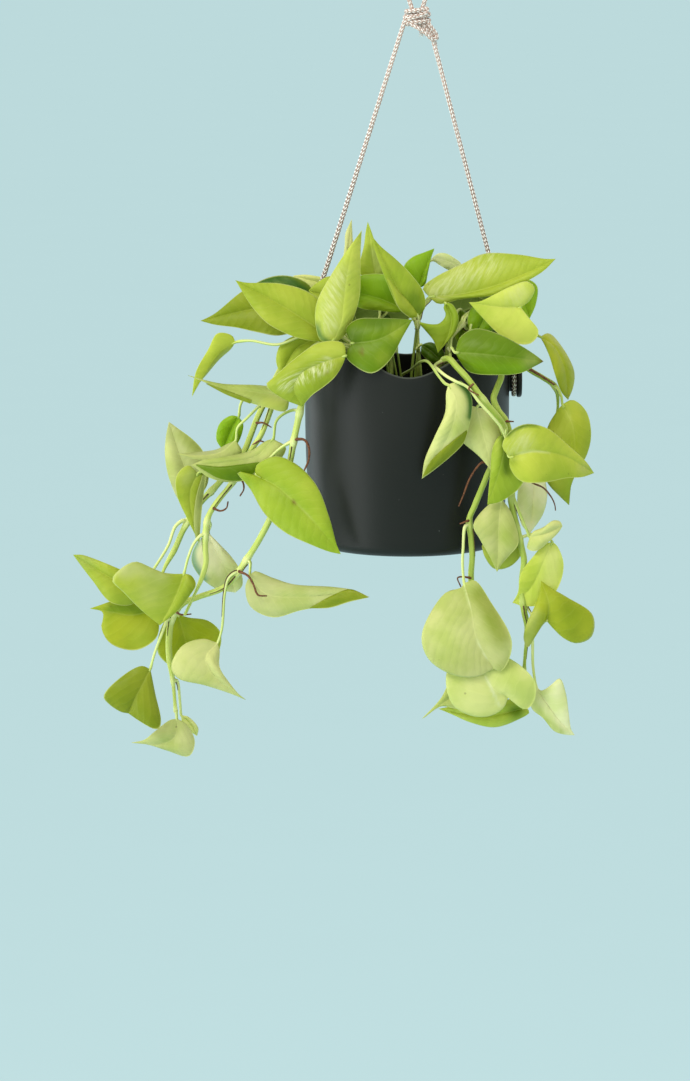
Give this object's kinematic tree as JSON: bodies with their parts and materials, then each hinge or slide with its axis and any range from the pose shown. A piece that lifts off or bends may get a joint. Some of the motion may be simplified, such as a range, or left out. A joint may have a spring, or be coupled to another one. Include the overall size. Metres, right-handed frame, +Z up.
{
  "type": "hanging potted plant",
  "caption": "Golden pothos with leafy stems trailing from a dark pot with moulded side knobs, hung on a knotted rope with a loop at its top.",
  "frame": {"origin": "inner top of the rope's hanging loop", "axes": "+Z up, +X from the left knob to the right knob, -Y toward the front where the rim dips and the long stems trail"},
  "size_m": [0.4565, 0.2466, 0.7143],
  "materials": {
    "pot": "satin",
    "soil": "matte",
    "rope": "matte",
    "leaf": "satin"
  },
  "bodies": {
    "root": {"pot": "pot", "soil": "soil", "rope_left": "rope", "rope_right": "rope", "rope_loop": "rope", "rope_knot": "rope", "crown_left": "leaf", "crown_centre": "leaf", "crown_right": "leaf", "vine_right_inner": "leaf", "vine_right_outer": "leaf", "vine_right_back": "leaf", "vine_left_long": "leaf", "vine_left_outer": "leaf", "vine_left_back": "leaf", "crown_back_left": "leaf", "crown_back_right": "leaf", "vine_back": "leaf"}
  },
  "joints": []
}
